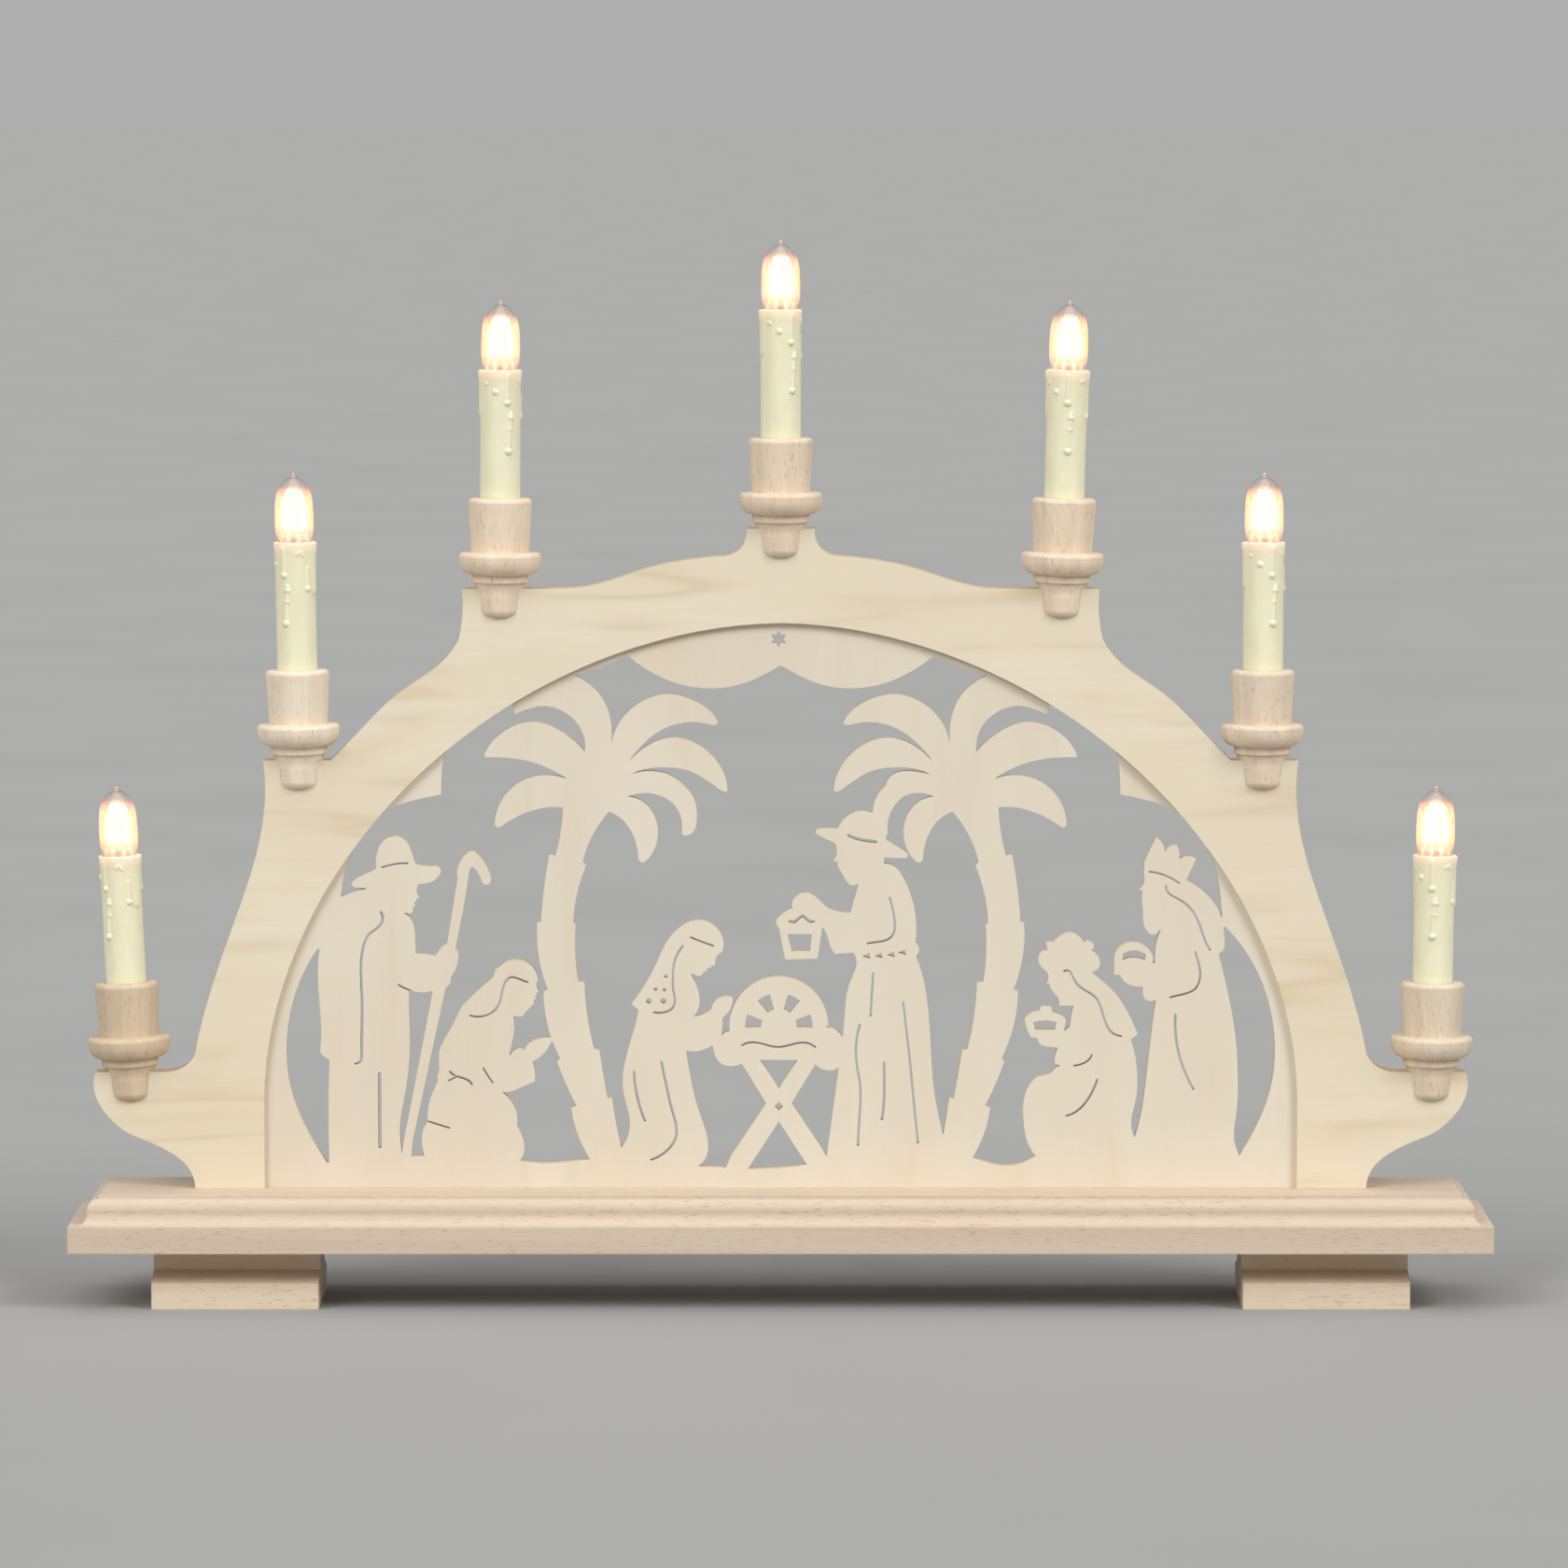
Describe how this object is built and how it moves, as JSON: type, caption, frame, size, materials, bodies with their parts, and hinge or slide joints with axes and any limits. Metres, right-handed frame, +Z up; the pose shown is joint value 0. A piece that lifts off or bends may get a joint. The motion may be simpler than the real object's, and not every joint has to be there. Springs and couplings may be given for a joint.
{
  "type": "candle arch",
  "caption": "Wooden candle arch: a fretwork scene in a plywood arch on a moulded plinth with feet, carrying electric candles with screw lamps on turned holders.",
  "frame": {"origin": "on the table under the middle of the plinth", "axes": "+X along the plinth to the viewer's right, -Y towards the front, +Z up"},
  "size_m": [0.52, 0.07, 0.39],
  "materials": {
    "beech": "sanded, bare",
    "arch_plywood": "sanded, bare",
    "panel_plywood": "sanded, bare",
    "candle_plastic": "satin",
    "socket_plastic": "matte",
    "brass": "plated",
    "steel": "zinc plated",
    "lamp_glass": "clear",
    "filament": "lit wire"
  },
  "bodies": {
    "arch_frame": {"plinth": "beech", "foot_left": "beech", "foot_right": "beech", "arch": "arch_plywood", "scene_panel": "panel_plywood", "arch_screws": "steel", "foot_screws": "steel", "holder_1": "beech", "holder_2": "beech", "holder_3": "beech", "holder_4": "beech", "holder_5": "beech", "holder_6": "beech", "holder_7": "beech"},
    "candle_1": {"sleeve_1": "candle_plastic", "socket_core_1": "socket_plastic", "socket_contacts_1": "brass"},
    "bulb_1": {"bulb_glass_1": "lamp_glass", "bulb_cap_1": "brass", "bulb_filament_1": "filament"},
    "candle_2": {"sleeve_2": "candle_plastic", "socket_core_2": "socket_plastic", "socket_contacts_2": "brass"},
    "bulb_2": {"bulb_glass_2": "lamp_glass", "bulb_cap_2": "brass", "bulb_filament_2": "filament"},
    "candle_3": {"sleeve_3": "candle_plastic", "socket_core_3": "socket_plastic", "socket_contacts_3": "brass"},
    "bulb_3": {"bulb_glass_3": "lamp_glass", "bulb_cap_3": "brass", "bulb_filament_3": "filament"},
    "candle_4": {"sleeve_4": "candle_plastic", "socket_core_4": "socket_plastic", "socket_contacts_4": "brass"},
    "bulb_4": {"bulb_glass_4": "lamp_glass", "bulb_cap_4": "brass", "bulb_filament_4": "filament"},
    "candle_5": {"sleeve_5": "candle_plastic", "socket_core_5": "socket_plastic", "socket_contacts_5": "brass"},
    "bulb_5": {"bulb_glass_5": "lamp_glass", "bulb_cap_5": "brass", "bulb_filament_5": "filament"},
    "candle_6": {"sleeve_6": "candle_plastic", "socket_core_6": "socket_plastic", "socket_contacts_6": "brass"},
    "bulb_6": {"bulb_glass_6": "lamp_glass", "bulb_cap_6": "brass", "bulb_filament_6": "filament"},
    "candle_7": {"sleeve_7": "candle_plastic", "socket_core_7": "socket_plastic", "socket_contacts_7": "brass"},
    "bulb_7": {"bulb_glass_7": "lamp_glass", "bulb_cap_7": "brass", "bulb_filament_7": "filament"}
  },
  "joints": [
    {"name": "candle_1_lift", "type": "slide", "parent": "arch_frame", "child": "candle_1", "axis": [-0.0436, 0, 0.999], "range_m": [0, 0.018]},
    {"name": "bulb_1_turn", "type": "hinge", "parent": "candle_1", "child": "bulb_1", "pos_m": [-0.2393, 0, 0.085], "axis": [-0.0436, 0, 0.999], "range_deg": [0, 1260]},
    {"name": "candle_2_lift", "type": "slide", "parent": "arch_frame", "child": "candle_2", "axis": [-0.0157, 0, 0.9999], "range_m": [0, 0.018]},
    {"name": "bulb_2_turn", "type": "hinge", "parent": "candle_2", "child": "bulb_2", "pos_m": [-0.1766, 0, 0.20004], "axis": [-0.0157, 0, 0.9999], "range_deg": [0, 1260]},
    {"name": "candle_3_lift", "type": "slide", "parent": "arch_frame", "child": "candle_3", "axis": [0.0061, 0, 1], "range_m": [0, 0.018]},
    {"name": "bulb_3_turn", "type": "hinge", "parent": "candle_3", "child": "bulb_3", "pos_m": [-0.1028, 0, 0.26297], "axis": [0.0061, 0, 1], "range_deg": [0, 1260]},
    {"name": "candle_4_lift", "type": "slide", "parent": "arch_frame", "child": "candle_4", "axis": [0, 0, 1], "range_m": [0, 0.018]},
    {"name": "bulb_4_turn", "type": "hinge", "parent": "candle_4", "child": "bulb_4", "pos_m": [0, 0, 0.285], "axis": [0, 0, 1], "range_deg": [0, 1260]},
    {"name": "candle_5_lift", "type": "slide", "parent": "arch_frame", "child": "candle_5", "axis": [0.0262, 0, 0.9997], "range_m": [0, 0.018]},
    {"name": "bulb_5_turn", "type": "hinge", "parent": "candle_5", "child": "bulb_5", "pos_m": [0.1028, 0, 0.26297], "axis": [0.0262, 0, 0.9997], "range_deg": [0, 1260]},
    {"name": "candle_6_lift", "type": "slide", "parent": "arch_frame", "child": "candle_6", "axis": [0.0026, 0, 1], "range_m": [0, 0.018]},
    {"name": "bulb_6_turn", "type": "hinge", "parent": "candle_6", "child": "bulb_6", "pos_m": [0.1766, 0, 0.20004], "axis": [0.0026, 0, 1], "range_deg": [0, 1260]},
    {"name": "candle_7_lift", "type": "slide", "parent": "arch_frame", "child": "candle_7", "axis": [0.0122, 0, 0.9999], "range_m": [0, 0.018]},
    {"name": "bulb_7_turn", "type": "hinge", "parent": "candle_7", "child": "bulb_7", "pos_m": [0.2393, 0, 0.085], "axis": [0.0122, 0, 0.9999], "range_deg": [0, 1260]}
  ]
}
